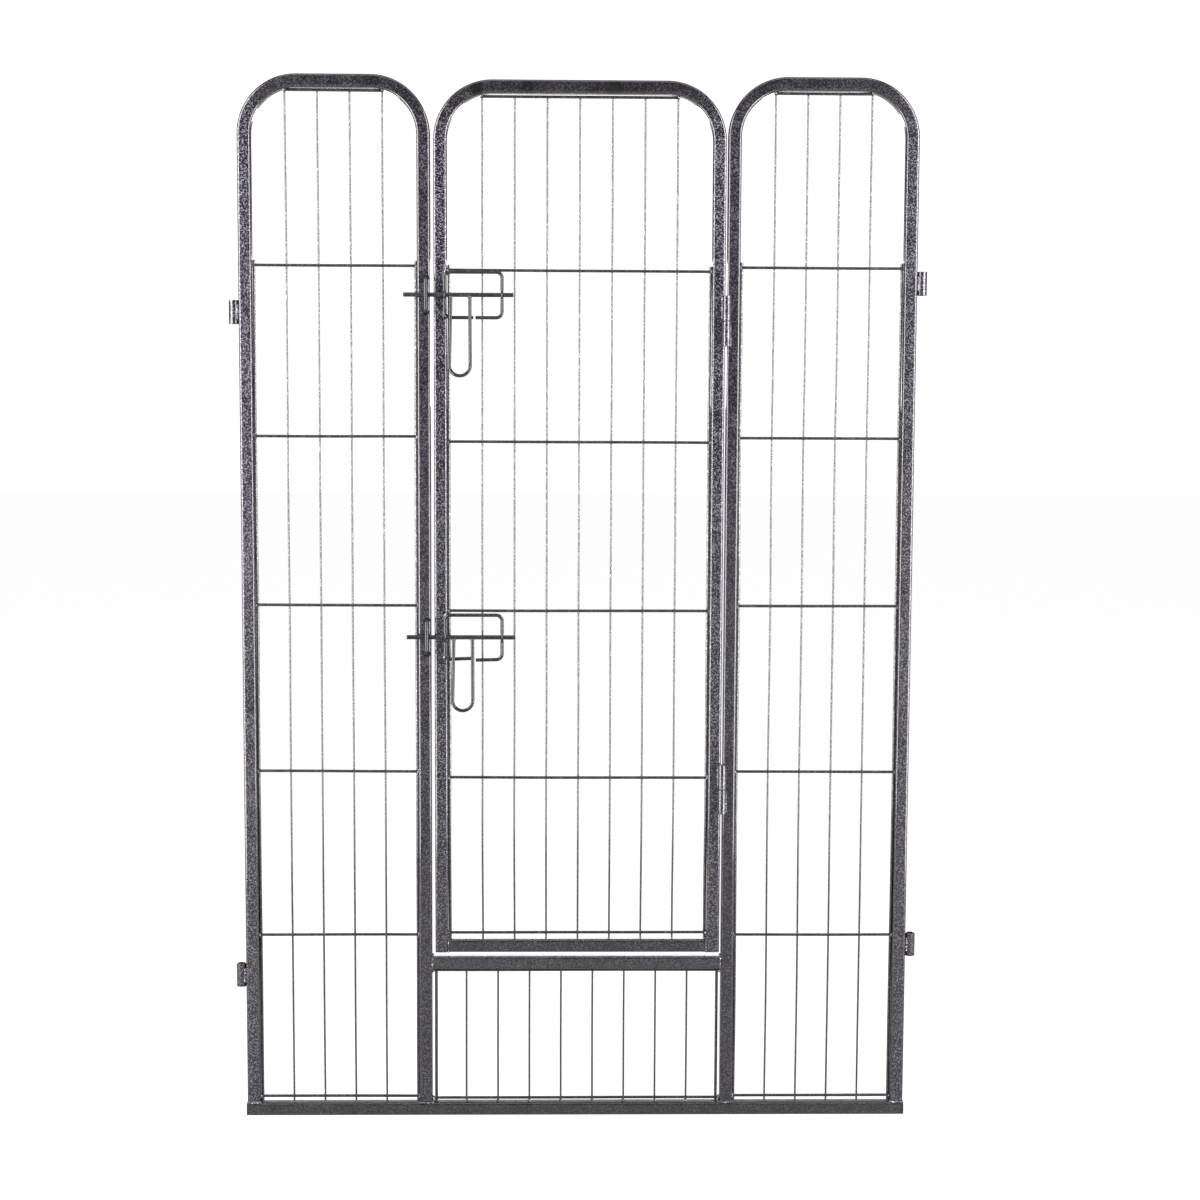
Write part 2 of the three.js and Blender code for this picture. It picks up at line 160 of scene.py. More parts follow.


# Dark paint over dimples, with pale flakes in it that gather in patches. The pale flakes are partly the paint's own
# flakes and partly painted glints.
def paint(name, look, **changes):
    look = dict(look, **changes)
    material, tree, place = newFinish(name)
    dimples = put(tree, "ShaderNodeTexVoronoi", {"Vector": place, "Scale": look["grain"]}).outputs["Distance"]
    flakes = noise(tree, place, look["flakes"], look["flakeDetail"], Roughness=look["flakeRoughness"])
    patches = noise(tree, place, look["patches"], 5.0)
    cloud = noise(tree, place, look["clouds"], 4.0)
    split = put(tree, "ShaderNodeSeparateXYZ", {"Vector": place}).outputs
    # Painted highlight: the outer stiles get more pale flakes.
    outer = span(tree, calc(tree, "ABSOLUTE", split["X"]), *look["outerPlace"], 0.0, look["outerFleck"])
    # Painted light in the flakes: more of them higher up (painted highlight), fewer on the arch tops (painted shade).
    paintedLight = calc(tree, "MULTIPLY", span(tree, split["Z"], *look["rise"], 1.0, 1.0 + look["riseGain"]),
                 span(tree, split["Z"], *look["topShadeRise"], 1.0, look["topFleck"]))
    shaded = [c * look["cloudShade"] for c in look["body"]]
    body = mix(tree, span(tree, cloud, *look["cloudRise"], 0.0, 1.0), look["body"], shaded)
    body = mix(tree, ramp(tree, dimples, *look["dimpleEdge"]), body, look["dark"])
    least, most = (look["fleck"] * (1 + sign * look["patchy"] / 2) for sign in (-1, 1))
    strength = calc(tree, "ADD", outer, span(tree, patches, *look["patchRise"], least, most))
    # Painted highlight on the wires: a lighter colour and more flakes, weaker near the floor.
    if look["highlightColour"]:
        wireHighlight = put(tree, "ShaderNodeAttribute", attribute_name="wireHighlight").outputs["Fac"]
        height = span(tree, split["Z"], *look["highlightRise"], look["highlightLeast"], 1.0)
        wireHighlight = calc(tree, "MULTIPLY", wireHighlight, height)
        body = mix(tree, wireHighlight, body, look["highlightColour"])
        strength = calc(tree, "ADD", strength, wireHighlight)
    shown = ramp(tree, flakes, *look["specks"])
    amount = calc(tree, "MULTIPLY", shown, calc(tree, "MULTIPLY", strength, paintedLight))
    colour = mix(tree, amount, body, look["pale"])
    for middle, half in look["scuffs"]:
        away = calc(tree, "ABSOLUTE", calc(tree, "SUBTRACT", split["X"], middle))
        mark = span(tree, away, half * look["scuffCore"], half, 1.0, 0.0)
        broken = span(tree, patches, *look["scuffBreaks"], look["scuffLeast"], 1.0)
        colour = mix(tree, calc(tree, "MULTIPLY", mark, broken), colour, look["dark"])
    closeFinish(tree, calc(tree, "ADD", dimples, flakes), (look["bumpStrength"], look["bump"]), {
        "Base Color": colour,
        "Metallic": look["metallic"],
        "Specular IOR Level": look["specular"],
        "Roughness": span(tree, patches, *look["roughRise"], *look["roughness"]),
        "Coat Weight": look["coat"],
        "Coat Roughness": look["coatRoughness"],
    })
    return material


pinLook = {
    "steel": (0.34, 0.33, 0.32),
    "oil": (0.10, 0.095, 0.09),
    "oilPatches": 160.0,
    "oilRise": (0.45, 0.65),
    "drawn": 1500.0,  # drawing marks to the metre, round the pin
    "drawnStretch": 0.06,  # the same along it
    "roughness": (0.22, 0.5),
    "relief": (0.4, 0.00005),
}


def pinSteel(name):
    material, tree, place = newFinish(name)
    stretched = put(tree, "ShaderNodeMapping", {"Vector": place, "Scale": (1, 1, pinLook["drawnStretch"])})
    drawn = noise(tree, stretched.outputs["Vector"], pinLook["drawn"], 3.0)
    oil = noise(tree, place, pinLook["oilPatches"], 4.0)
    closeFinish(tree, drawn, pinLook["relief"], {
        "Base Color": mix(tree, span(tree, oil, *pinLook["oilRise"], 0.0, 1.0), pinLook["steel"], pinLook["oil"]),
        "Metallic": 1.0,
        "Roughness": span(tree, oil, 0.3, 0.7, *pinLook["roughness"]),
    })
    return material


plugLook = {
    "plastic": (0.010, 0.010, 0.011),
    "dust": (0.05, 0.048, 0.045),
    "dustPatches": 260.0,
    "dustRise": (0.5, 0.75),
    "grain": 2200.0,
    "roughness": (0.38, 0.62),
    "relief": (0.3, 0.00004),
}


def plugPlastic(name):
    material, tree, place = newFinish(name)
    grain = noise(tree, place, plugLook["grain"], 2.0)
    dust = noise(tree, place, plugLook["dustPatches"], 5.0)
    closeFinish(tree, grain, plugLook["relief"], {
        "Base Color": mix(tree, span(tree, dust, *plugLook["dustRise"], 0.0, 1.0),
                          plugLook["plastic"], plugLook["dust"]),
        "Roughness": span(tree, dust, 0.3, 0.7, *plugLook["roughness"]),
    })
    return material


framePaint = paint("framePaint", hammertone)
tubePaints = {  # each tube has its own flake strength and tone; the outer stiles' added flakes and the door's stronger gain with height are painted highlight, and the door's darker arch top is painted shade
    "left_frame_tube": paint("leftTubePaint", hammertone, fleck=0.22, outerFleck=0.22),
    "right_frame_tube": paint("rightTubePaint", hammertone, fleck=0.20, outerFleck=0.14),
    "door_frame_tube": paint("doorTubePaint", hammertone, fleck=0.40, riseGain=0.8, topFleck=0.15,
                             scuffs=((-0.115, 0.008), (-0.058, 0.009), (0.040, 0.014))),
    "bottom_rail": paint("bottomRailPaint", hammertone, fleck=0.14, patchy=0.5),
    "sill_rail": paint("sillRailPaint", hammertone, fleck=0.16, body=(0.030, 0.025, 0.036)),
    "door_bottom_rail": paint("doorRailPaint", hammertone, fleck=0.16),
}
meshPaint = paint("meshPaint", wirePaint)
boltPaint = paint("boltPaint", latchPaint)
seamPaint = paint("seamPaint", weldPaint)
# Near-black paint that barely reflects, for the beads on the keepers' ends.
nearBlackPaint = paint("nearBlackPaint", latchPaint, body=(0.0015, 0.0014, 0.0016), pale=(0.01, 0.01, 0.01),
                      coat=0.15, specular=0.1)
steel = pinSteel("pinSteel")
plastic = plugPlastic("plugPlastic")
print("finishes made")


# Geometry Nodes

sealGap = 0.01 * mm  # points nearer than this become one
anyTurn = {"Min": (0, 0, 0), "Max": (6.28, 6.28, 6.28)}


def newTree(name, sockets):
    tree = bpy.data.node_groups.new(name, "GeometryNodeTree")
    tree.is_modifier = True
    tree.interface.new_socket("Geometry", in_out="INPUT", socket_type="NodeSocketGeometry")
    for label, kind in sockets.items():
        tree.interface.new_socket(label, in_out="INPUT", socket_type="NodeSocket" + kind)
    tree.interface.new_socket("Geometry", in_out="OUTPUT", socket_type="NodeSocketGeometry")
    return tree, tree.nodes.new("NodeGroupInput").outputs


def closeTree(tree, geometry, finish):
    real = put(tree, "GeometryNodeRealizeInstances", {"Geometry": geometry}).outputs[0]
    smooth = put(tree, "GeometryNodeSetShadeSmooth", {"Geometry": real}).outputs[0]
    painted = put(tree, "GeometryNodeSetMaterial", {"Geometry": smooth, "Material": finish}).outputs[0]
    put(tree, "NodeGroupOutput", {"Geometry": painted})
    return tree


# Hollow square tube along a line of points, with flat ring faces at its two ends.
def tubeTree():
    tree, given = newTree("squareTubeOnPath", {
        "Size": "Float", "Corner": "Float", "Wall": "Float", "Corner Steps": "Int", "Finish": "Material"})
    path = put(tree, "GeometryNodeMeshToCurve", {"Mesh": given["Geometry"]}).outputs[0]

    def outline(size, corner):
        square = put(tree, "GeometryNodeCurvePrimitiveQuadrilateral", {"Width": size, "Height": size}).outputs[0]
        return put(tree, "GeometryNodeFilletCurve",
                   {"Curve": square, "Count": given["Corner Steps"], "Radius": corner}, mode="POLY").outputs[0]

    def less(value, times):
        return calc(tree, "SUBTRACT", value, calc(tree, "MULTIPLY", given["Wall"], times))

    outside = outline(given["Size"], given["Corner"])
    inside = outline(less(given["Size"], 2.0), less(given["Corner"], 1.0))
    walls = [put(tree, "GeometryNodeCurveToMesh", {"Curve": path, "Profile Curve": o}).outputs[0]
             for o in (outside, inside)]
    both = put(tree, "GeometryNodeJoinGeometry")
    for o in (outside, inside):
        tree.links.new(o, both.inputs[0])
    ring = put(tree, "GeometryNodeFillCurve", {"Curve": both.outputs[0]}).outputs[0]
    tangent = put(tree, "GeometryNodeInputTangent").outputs[0]
    upright = put(tree, "FunctionNodeAlignRotationToVector", {"Vector": tangent}, axis="Z").outputs[0]
    squared = put(tree, "FunctionNodeAlignRotationToVector", {"Rotation": upright, "Vector": (0, 1, 0)},
                  axis="Y", pivot_axis="Z").outputs[0]
    ends = put(tree, "GeometryNodeCurveEndpointSelection").outputs[0]
    rings = put(tree, "GeometryNodeInstanceOnPoints",
                {"Points": path, "Selection": ends, "Instance": ring, "Rotation": squared}).outputs[0]
    whole = put(tree, "GeometryNodeJoinGeometry")
    for part in (*walls, put(tree, "GeometryNodeRealizeInstances", {"Geometry": rings}).outputs[0]):
        tree.links.new(part, whole.inputs[0])
    sealed = put(tree, "GeometryNodeMergeByDistance", {"Geometry": whole.outputs[0], "Distance": sealGap})
    return closeTree(tree, sealed.outputs[0], given["Finish"])


# Round wires along lines of points, gently waved, with a small weld at each loose point.
def wireTree():
    tree, given = newTree("weldedWires", {
        "Sides": "Int", "Step": "Float", "Wave": "Float", "Wave Scale": "Float", "Seed": "Int", "Finish": "Material"})
    gauge = put(tree, "GeometryNodeInputNamedAttribute", {"Name": "gauge"}, data_type="FLOAT").outputs[0]
    isSpot = put(tree, "GeometryNodeInputNamedAttribute", {"Name": "spot"}, data_type="BOOLEAN").outputs[0]
    place = put(tree, "GeometryNodeInputPosition").outputs[0]
    drift = put(tree, "ShaderNodeTexNoise",
                {"Vector": place, "W": given["Seed"], "Scale": given["Wave Scale"], "Detail": 0.0},
                noise_dimensions="4D").outputs["Color"]
    centred = put(tree, "ShaderNodeVectorMath", {0: drift, 1: (0.5, 0.5, 0.5)}, operation="SUBTRACT").outputs[0]
    wave = put(tree, "ShaderNodeVectorMath", {0: centred, "Scale": given["Wave"]}, operation="SCALE").outputs[0]
    lines = put(tree, "GeometryNodeMeshToCurve", {"Mesh": given["Geometry"]}).outputs[0]
    fine = put(tree, "GeometryNodeResampleCurve", {"Curve": lines, "Length": given["Step"]}, mode="LENGTH").outputs[0]
    waved = put(tree, "GeometryNodeSetPosition", {"Geometry": fine, "Offset": wave}).outputs[0]
    circle = put(tree, "GeometryNodeCurvePrimitiveCircle", {"Resolution": given["Sides"], "Radius": 1.0}).outputs[0]
    wires = put(tree, "GeometryNodeCurveToMesh",
                {"Curve": waved, "Profile Curve": circle, "Scale": gauge, "Fill Caps": True})
    ball = put(tree, "GeometryNodeMeshIcoSphere", {"Radius": 1.0, "Subdivisions": 2}).outputs[0]
    turn = put(tree, "FunctionNodeRandomValue", {**anyTurn, "Seed": given["Seed"]},
               data_type="FLOAT_VECTOR").outputs[0]
    shifted = put(tree, "GeometryNodeSetPosition", {"Geometry": given["Geometry"], "Offset": wave}).outputs[0]
    spots = put(tree, "GeometryNodeInstanceOnPoints",
                {"Points": shifted, "Selection": isSpot, "Instance": ball, "Rotation": turn, "Scale": gauge}).outputs[0]
    whole = put(tree, "GeometryNodeJoinGeometry")
    tree.links.new(wires.outputs[0], whole.inputs[0])
    tree.links.new(spots, whole.inputs[0])
    return closeTree(tree, whole.outputs[0], given["Finish"])


# Rippled weld beads: overlapping drops along lines of points.
def beadTree():
    tree, given = newTree("weldBeads", {
        "Pitch": "Float", "Uneven": "Float", "Seed": "Int", "Finish": "Material"})
    gauge = put(tree, "GeometryNodeInputNamedAttribute", {"Name": "gauge"}, data_type="FLOAT").outputs[0]
    lines = put(tree, "GeometryNodeMeshToCurve", {"Mesh": given["Geometry"]}).outputs[0]
    fine = put(tree, "GeometryNodeResampleCurve", {"Curve": lines, "Length": given["Pitch"]}, mode="LENGTH").outputs[0]
    drop = put(tree, "GeometryNodeMeshIcoSphere", {"Radius": 1.0, "Subdivisions": 2}).outputs[0]
    turn = put(tree, "FunctionNodeRandomValue", {**anyTurn, "Seed": given["Seed"]},
               data_type="FLOAT_VECTOR").outputs[0]
    least, most = (calc(tree, sign, 1.0, given["Uneven"]) for sign in ("SUBTRACT", "ADD"))
    vary = put(tree, "FunctionNodeRandomValue",
               {2: least, 3: most, "Seed": given["Seed"]}, data_type="FLOAT").outputs[1]
    beads = put(tree, "GeometryNodeInstanceOnPoints",
                {"Points": fine, "Instance": drop, "Rotation": turn,
                 "Scale": calc(tree, "MULTIPLY", gauge, vary)}).outputs[0]
    return closeTree(tree, beads, given["Finish"])


# A mesh of lines, each (points, gauge) or (points, gauge, highlight), where highlight is its share of painted
# highlight, and of loose weld points, each (point, gauge).
def skeleton(name, lines, spots=()):
    mesh = bpy.data.meshes.new(name)
    points, edges, gauges, wireHighlights, isSpot = [], [], [], [], []
    for line, gauge, *wireHighlight in lines:
        start = len(points)
        points += [tuple(p) for p in line]
        edges += [(i, i + 1) for i in range(start, len(points) - 1)]
        gauges += [gauge] * len(line)
        wireHighlights += (wireHighlight or [0.0]) * len(line)
        isSpot += [False] * len(line)
    for point, gauge in spots:
        points.append(tuple(point))
        gauges.append(gauge)
        wireHighlights.append(0.0)
        isSpot.append(True)
    mesh.from_pydata(points, edges, [])
    mesh.attributes.new("gauge", "FLOAT", "POINT").data.foreach_set("value", gauges)
    mesh.attributes.new("wireHighlight", "FLOAT", "POINT").data.foreach_set("value", wireHighlights)
    mesh.attributes.new("spot", "BOOLEAN", "POINT").data.foreach_set("value", isSpot)
    piece = bpy.data.objects.new(name, mesh)
    bpy.context.scene.collection.objects.link(piece)
    return piece


# Runs a tree on a piece and keeps the result as its plain mesh.
def grow(piece, tree, values):
    modifier = piece.modifiers.new("nodes", "NODES")
    modifier.node_group = tree
    names = {item.name: item.identifier for item in tree.interface.items_tree
             if item.item_type == "SOCKET" and item.in_out == "INPUT"}
    for label, value in values.items():
        modifier[names[label]] = value
    depsgraph = bpy.context.evaluated_depsgraph_get()
    made = bpy.data.meshes.new_from_object(piece.evaluated_get(depsgraph), depsgraph=depsgraph)
    piece.modifiers.clear()
    old = piece.data
    piece.data = made
    made.name = piece.name
    bpy.data.meshes.remove(old)
    faceOut(made)
    return piece


def faceOut(mesh):
    work = bmesh.new()
    work.from_mesh(mesh)
    bmesh.ops.recalc_face_normals(work, faces=work.faces)
    work.to_mesh(mesh)
    work.free()


def hand(piece, body, slot, *nodes):
    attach(piece, body)
    if nodes:
        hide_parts(*nodes)
    return piece


tubeNodes, wireNodes, beadNodes = tubeTree(), wireTree(), beadTree()
print("node trees built")


# Square tubes

tube = {
    "size": 15 * mm,
    "corner": 2.9 * mm,
    "wall": 1.0 * mm,
    "cornerSteps": 7,
    "archRadius": 67 * mm,
    "archSteps": 24,
}


def archPath(low, high):
    radius = tube["archRadius"] - tube["size"] / 2
    left, right = low.x + tube["size"] / 2, high.x - tube["size"] / 2
    top = high.z - tube["size"] / 2
    points = [Vector((left, 0, low.z))]
    for centre, start in ((left + radius, math.pi), (right - radius, math.pi / 2)):
        for i in range(tube["archSteps"] + 1):
            angle = start - i / tube["archSteps"] * math.pi / 2
            points.append(Vector((centre + radius * math.cos(angle), 0, top - radius + radius * math.sin(angle))))
    return points + [Vector((right, 0, low.z))]


def levelPath(low, high):
    middle = (low.z + high.z) / 2
    return [Vector((low.x, 0, middle)), Vector((high.x, 0, middle))]


def squareTube(name, node, body, path):
    piece = skeleton(name, [(path(*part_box(node)), tube["size"])])
    grow(piece, tubeNodes, {"Size": tube["size"], "Corner": tube["corner"], "Wall": tube["wall"],
                            "Corner Steps": tube["cornerSteps"], "Finish": tubePaints[node]})
    even = piece.modifiers.new("evenShading", "WEIGHTED_NORMAL")
    even.keep_sharp = True
    return hand(piece, body, "hammertone_paint", node)


squareTube("leftFrame", "left_frame_tube", "panel", archPath)
squareTube("rightFrame", "right_frame_tube", "panel", archPath)
squareTube("doorFrame", "door_frame_tube", "door", archPath)
squareTube("bottomRail", "bottom_rail", "panel", levelPath)
squareTube("sillRail", "sill_rail", "panel", levelPath)
squareTube("doorRail", "door_bottom_rail", "door", levelPath)
print("square tubes made")


# Welded wire

wire = {
    "row": 3.3 * mm,
    "column": 2.3 * mm,
    "edge": 3.5 * mm,
    "press": 0.4 * mm,  # how far the wires sink into each other where they cross
    "sides": 12,
    "step": 14 * mm,
    "wave": 1.4 * mm,
    "waveScale": 5.5,
    "tail": 2 * mm,  # past the last crossing
    "edgeTail": 6 * mm,
    "weld": 1.75 * mm,
    "weldSink": (0.1, 0.2 * mm),  # share of the wire's depth, and a shift towards the back
    "columnHighlight": 0.45,  # painted highlight on the upright wires, and more of it on the edge wires
    "edgeHighlight": 0.9,
}
rowY = -(wire["row"] + wire["column"]) / 4 + wire["press"] / 2
columnY = -rowY
edgeY = rowY + (wire["row"] + wire["edge"]) / 2 - wire["press"]
# The short top row of an arch is pushed up into the bends by its lift.
sectionGrid = {"columns": 4, "pitch": 36.4 * mm, "cells": 6, "lowest": 6.5 * mm, "lift": 1.5 * mm, "seed": 3}
doorGrid = {"columns": 7, "pitch": 36.9 * mm, "topCell": 193 * mm, "rowPitch": 194 * mm, "rows": 4,
            "lowest": 7.1 * mm, "lift": 0.8 * mm, "seed": 8}
kickGrid = {"columns": 8, "pitch": 36.9 * mm, "lowest": 4.3 * mm, "topDrop": 1.9 * mm, "edgeInset": 3.8 * mm,
            "seed": 5}


def spread(count, pitch):
    return [(i - (count - 1) / 2) * pitch for i in range(count)]


def wireMesh(name, node, body, grid, edge, rows, edgeTop):
    low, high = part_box(node)
    middle = (low.x + high.x) / 2
    columns, edges = spread(grid["columns"], grid["pitch"]), (-edge, edge)
    share, shift = wire["weldSink"]
    lines, spots = [], []
    for z, half in rows:
        lines.append(([(middle - half, rowY, z), (middle + half, rowY, z)], wire["row"] / 2))
    for x in columns:
        lines.append(([(middle + x, columnY, low.z), (middle + x, columnY, rows[0][0] + wire["tail"] / 2)],
                      wire["column"] / 2, wire["columnHighlight"]))
    for x in edges:
        lines.append(([(middle + x, edgeY, low.z), (middle + x, edgeY, edgeTop)],
                      wire["edge"] / 2, wire["edgeHighlight"]))
    for z, half in rows:
        for x in columns:
            spots.append(((middle + x, columnY * share + shift, z), wire["weld"]))
        for x in edges:
            if abs(x) < half and z < edgeTop + wire["tail"]:
                spots.append(((middle + x, edgeY * share + shift, z), wire["weld"]))
    piece = skeleton(name, lines, spots)
    grow(piece, wireNodes, {"Sides": wire["sides"], "Step": wire["step"], "Wave": wire["wave"],
                            "Wave Scale": wire["waveScale"], "Seed": grid["seed"], "Finish": meshPaint})
    return hand(piece, body, "painted_wire", node)


# Rows as (height, half length), highest first.
def archRows(node, grid, rowHeights):
    low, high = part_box(node)
    half = (high.x - low.x) / 2
    top = high.z - wire["row"] / 2
    short = (grid["columns"] - 1) / 2 * grid["pitch"] + wire["tail"]
    return [(top + grid["lift"], short)] + [(z, half) for z in rowHeights(low, top)]


def sectionHeights(low, top):
    lowest = low.z + sectionGrid["lowest"]
    pitch = (top - lowest) / sectionGrid["cells"]
    return [lowest + i * pitch for i in reversed(range(sectionGrid["cells"]))]


def doorHeights(low, top):
    first = top - doorGrid["topCell"]
    return [first - i * doorGrid["rowPitch"] for i in range(doorGrid["rows"])] + [low.z + doorGrid["lowest"]]


meshRows = {}
for name, node, body, grid, heights in (
    ("leftSectionMesh", "left_mesh", "panel", sectionGrid, sectionHeights),
    ("rightSectionMesh", "right_mesh", "panel", sectionGrid, sectionHeights),
    ("doorMesh", "door_mesh", "door", doorGrid, doorHeights),
):
    rows = archRows(node, grid, heights)
    meshRows[node] = rows
    wireMesh(name, node, body, grid, rows[1][1] - wire["edge"] / 2, rows, rows[1][0] + wire["edgeTail"])

low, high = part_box("kick_mesh")
meshRows["kick_mesh"] = [(high.z - kickGrid["topDrop"], high.x), (low.z + kickGrid["lowest"], high.x)]
wireMesh("kickMesh", "kick_mesh", "panel", kickGrid, high.x - kickGrid["edgeInset"], meshRows["kick_mesh"], high.z)
print("welded wire made")


# Turned and bent pieces

def addObject(name, work, finish):
    bmesh.ops.recalc_face_normals(work, faces=work.faces)
    for face in work.faces:
        face.smooth = True
    mesh = bpy.data.meshes.new(name)
    work.to_mesh(mesh)
    work.free()
    mesh.materials.append(finish)
    piece = bpy.data.objects.new(name, mesh)
    bpy.context.scene.collection.objects.link(piece)
    return piece


# Joins rings of points into a closed skin. A ring may be a single point, and closed joins the last ring to the first.
def skin(name, rings, finish, closed=False):
    work = bmesh.new()
    made = [[work.verts.new(p) for p in ring] for ring in rings]
    pairs = list(zip(made, made[1:])) + ([(made[-1], made[0])] if closed else [])
    for first, second in pairs:
        count = max(len(first), len(second))
        for i in range(count):
            j = (i + 1) % count
            corners = [first[i % len(first)], first[j % len(first)],
                       second[j % len(second)], second[i % len(second)]]
            work.faces.new(list(dict.fromkeys(corners)))
    return addObject(name, work, finish)


# A profile of (radius, place) turned about a line from a point along an axis.
def turned(name, start, axis, profile, finish, sides=48, closed=False):
    side = zAxis if abs(axis.z) < 0.5 else xAxis
    other = axis.cross(side)
    angles = [i * 2 * math.pi / sides for i in range(sides)]
    rings = []
    for radius, place in profile:
        centre = start + axis * place
        rings.append([centre] if radius == 0 else [
            centre + (side * math.cos(angle) + other * math.sin(angle)) * radius for angle in angles])
    return skin(name, rings, finish, closed)


# Edges sharper than this stay sharp, and flat faces stay flat under the smooth shading.
def keepFlats(piece, degrees=32):
    for edge in piece.data.edges:
        edge.use_edge_sharp = False
    work = bmesh.new()
    work.from_mesh(piece.data)
    for edge in work.edges:
        if len(edge.link_faces) == 2 and edge.calc_face_angle(0) > math.radians(degrees):
            edge.smooth = False
    work.to_mesh(piece.data)
    work.free()
    even = piece.modifiers.new("evenShading", "WEIGHTED_NORMAL")
    even.keep_sharp = True
    return piece


# Outline of a turned piece whose two ends are eased.
def eased(radius, length, chamfer):
    tip = chamfer * 0.3
    start = [(radius - chamfer, 0), (radius - tip, tip), (radius, chamfer)]
    return start + [(r, length - place) for r, place in reversed(start)]


def barrel(name, node, body, look):
    low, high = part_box(node)
    length, inner, lip = high.z - low.z, look["bore"] / 2, look["chamfer"] / 2
    start = Vector(((low.x + high.x) / 2, (low.y + high.y) / 2, low.z))
    bore = [(inner + lip, length), (inner, length - lip), (inner, lip), (inner + lip, 0)]
    profile = eased((high.x - low.x) / 2, length, look["chamfer"]) + bore
    return hand(keepFlats(turned(name, start, zAxis, profile, framePaint, closed=True)),
                body, "hammertone_paint", node)


sleeve = {"bore": 8 * mm, "chamfer": 0.5 * mm}
for side in ("left", "right"):
    for level in reversed(levels):
        barrel(side + level.title() + "Sleeve", f"connector_sleeve_{side}_{level}", "panel", sleeve)

hinge = {
    "bore": 5.6 * mm,
    "chamfer": 0.7 * mm,
    "pinDome": 0.9 * mm,
    "pinTip": ((0.6, 0.2), (0.92, 0.6), (1.0, 1.3)),  # shares of the pin's radius and of the dome
}
for level in levels:
    barrel(level + "FixedKnuckle", "hinge_knuckle_fixed_" + level, "panel", hinge)
    barrel(level + "DoorKnuckle", "hinge_knuckle_door_" + level, "door", hinge)
    low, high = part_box("hinge_pin_" + level)
    radius, length = (high.x - low.x) / 2, high.z - low.z
    tip = [(0, 0)] + [(radius * width, hinge["pinDome"] * depth) for width, depth in hinge["pinTip"]]
    profile = tip + [(r, length - place) for r, place in reversed(tip)]
    foot = Vector(((low.x + high.x) / 2, (low.y + high.y) / 2, low.z))
    hand(turned(level + "HingePin", foot, zAxis, profile, steel), "panel", "pin_steel", "hinge_pin_" + level)
print("sleeves and hinges made")


wireTip = ((0.05, 0.55), (0.45, 0.9), (1.0, 1.0))  # shares of the dome's depth and of the wire's thickness


# Wire bent in one plane: gauge gives its half widths in the plane and across it at a point.
def bentWire(name, points, across, gauge, finish, sides=20, dome=0.6 * mm):
    angles = [k * 2 * math.pi / sides for k in range(sides)]
    rings = []
    last = len(points) - 1
    for i, point in enumerate(points):
        tangent = (points[min(i + 1, last)] - points[max(i - 1, 0)]).normalized()
        inPlane = tangent.cross(across)
        flat, deep = gauge(point)

        def ring(along, share):
            return [point + tangent * along + inPlane * (flat * share * math.cos(angle))
                    + across * (deep * share * math.sin(angle)) for angle in angles]

        if i == 0:
            rings += [[point]] + [ring(dome * depth, share) for depth, share in wireTip]
        elif i == last:
            rings += [ring(-dome * depth, share) for depth, share in reversed(wireTip)] + [[point]]
        else:
            rings.append(ring(0, 1))
    return skin(name, rings, finish)


# Straight runs through corners, all rounded with one radius.
def roundedRoute(corners, radius, steps=10):
    points = [corners[0]]
    for before, corner, after in zip(corners, corners[1:], corners[2:]):
        back, ahead = (before - corner).normalized(), (after - corner).normalized()
        bend = math.pi - back.angle(ahead)
        reach = radius * math.tan(bend / 2)
        centre = corner + (back + ahead).normalized() * (radius / math.cos(bend / 2))
        axis = back.cross(ahead).normalized()
        arm = corner + back * reach - centre
        for i in range(steps + 1):
            points.append(centre + Matrix.Rotation(-bend * i / steps, 3, axis) @ arm)
    return points + [corners[-1]]


# More points along a route, none further apart than a step.
def fill(points, step):
    dense = [points[0]]
    for a, b in zip(points, points[1:]):
        count = max(1, math.ceil((b - a).length / step))
        dense += [a.lerp(b, i / count) for i in range(1, count + 1)]
    return dense


guide = {
    "wire": 4 * mm,
    "corner": 6.5 * mm,
    "step": 1.2 * mm,
    "split": 2 * mm,
    "splitPlace": 33.8 * mm,
    "eyeDepth": 4.5 * mm,
    "eyeThickness": 1.35 * mm,
    "eyeReach": 6.5 * mm,
    "hole": 2.85 * mm,
    "legSlack": 0.3 * mm,  # a point this near a leg's middle line is on the leg
    "drillOver": 8 * mm,
    "lift": {"upper": 0.0, "lower": 1.3 * mm},  # the bent ends don't quite meet on the lower one
    "liftShare": 0.6,  # how far the other end drops
    "sharp": 40,
}


